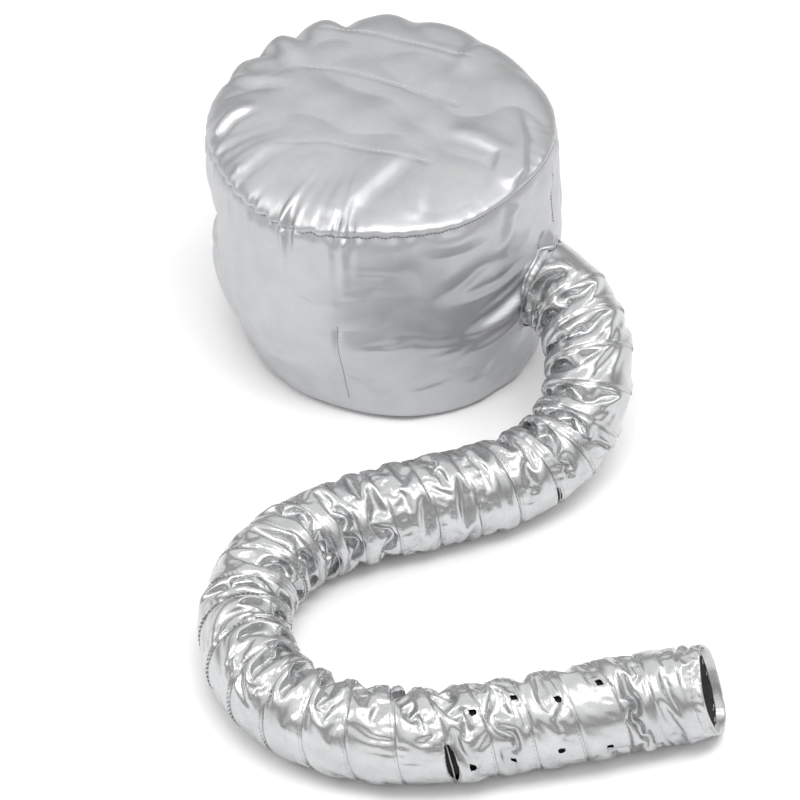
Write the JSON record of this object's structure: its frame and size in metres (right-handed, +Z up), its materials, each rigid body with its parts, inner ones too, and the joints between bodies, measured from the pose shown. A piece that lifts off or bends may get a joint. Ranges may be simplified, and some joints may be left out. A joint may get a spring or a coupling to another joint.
{
  "type": "soft bonnet hair dryer hood with air hose",
  "caption": "Puffed cloth bonnet with a gathered crown and elastic hem, joined at one side to a long wire-ribbed cloth air hose that ends in a cuff for a hair dryer.",
  "frame": {"origin": "centre of the hood's hem on the surface it stands on", "axes": "+Z up along the hood's axis; the hose leaves at +X, -Y and lies on the surface in front, towards -Y"},
  "size_m": [0.4095, 0.7275, 0.233],
  "materials": {
    "silver_cloth": "metallic silver coated woven nylon, semi-gloss",
    "hose_cloth": "thin metallic silver coated cloth, glossy and crumpled",
    "black_lining": "matt black woven lining",
    "silver_thread": "light grey polyester sewing thread",
    "dark_thread": "dark grey polyester sewing thread",
    "spring_wire": "drawn spring steel",
    "elastic_band": "white woven elastic",
    "seam_tape": "black binding tape"
  },
  "bodies": {
    "hood": {"wall_panel": "silver_cloth", "wall_liner": "black_lining", "crown_panel": "silver_cloth", "crown_liner": "black_lining", "crown_seam_tape": "seam_tape", "crown_seam_thread": "dark_thread", "crown_quilt_threads": "silver_thread", "side_seam_thread": "dark_thread", "dart_threads": "silver_thread", "hem_casing": "silver_cloth", "hem_elastic": "elastic_band", "hem_thread": "silver_thread", "inlet_collar": "hose_cloth", "inlet_thread": "silver_thread"},
    "hose": {"hose_root_sleeve": "hose_cloth", "hose_upper_sleeve": "hose_cloth", "hose_middle_sleeve": "hose_cloth", "hose_bend_sleeve": "hose_cloth", "hose_join_tape_1": "seam_tape", "hose_wire_upper": "spring_wire", "hose_thread_upper": "silver_thread"},
    "hose_end": {"hose_lower_sleeve": "hose_cloth", "hose_vented_sleeve": "hose_cloth", "hose_stretch_sleeve": "hose_cloth", "hose_join_tape_2": "seam_tape", "hose_wire_lower": "spring_wire", "hose_thread_lower": "silver_thread"},
    "cuff": {"cuff_shell": "hose_cloth", "cuff_lining": "black_lining", "cuff_elastic": "elastic_band", "cuff_threads": "silver_thread"}
  },
  "joints": [
    {"name": "hose_swing", "type": "hinge", "parent": "hood", "child": "hose", "pos_m": [0.14581, -0.08244, 0.10206], "axis": [0, 0, 1], "range_deg": [-12, 30], "deforming": ["hose_root_sleeve"]},
    {"name": "hose_fold", "type": "hinge", "parent": "hose", "child": "hose_end", "pos_m": [-0.1054, -0.38019, 0.039], "axis": [0, 0, 1], "range_deg": [-25, 18], "deforming": ["hose_bend_sleeve"]},
    {"name": "hose_stretch", "type": "slide", "parent": "hose_end", "child": "cuff", "axis": [0.9766, 0.2152, 0], "range_m": [-0.015, 0.04], "deforming": ["hose_stretch_sleeve"]}
  ]
}
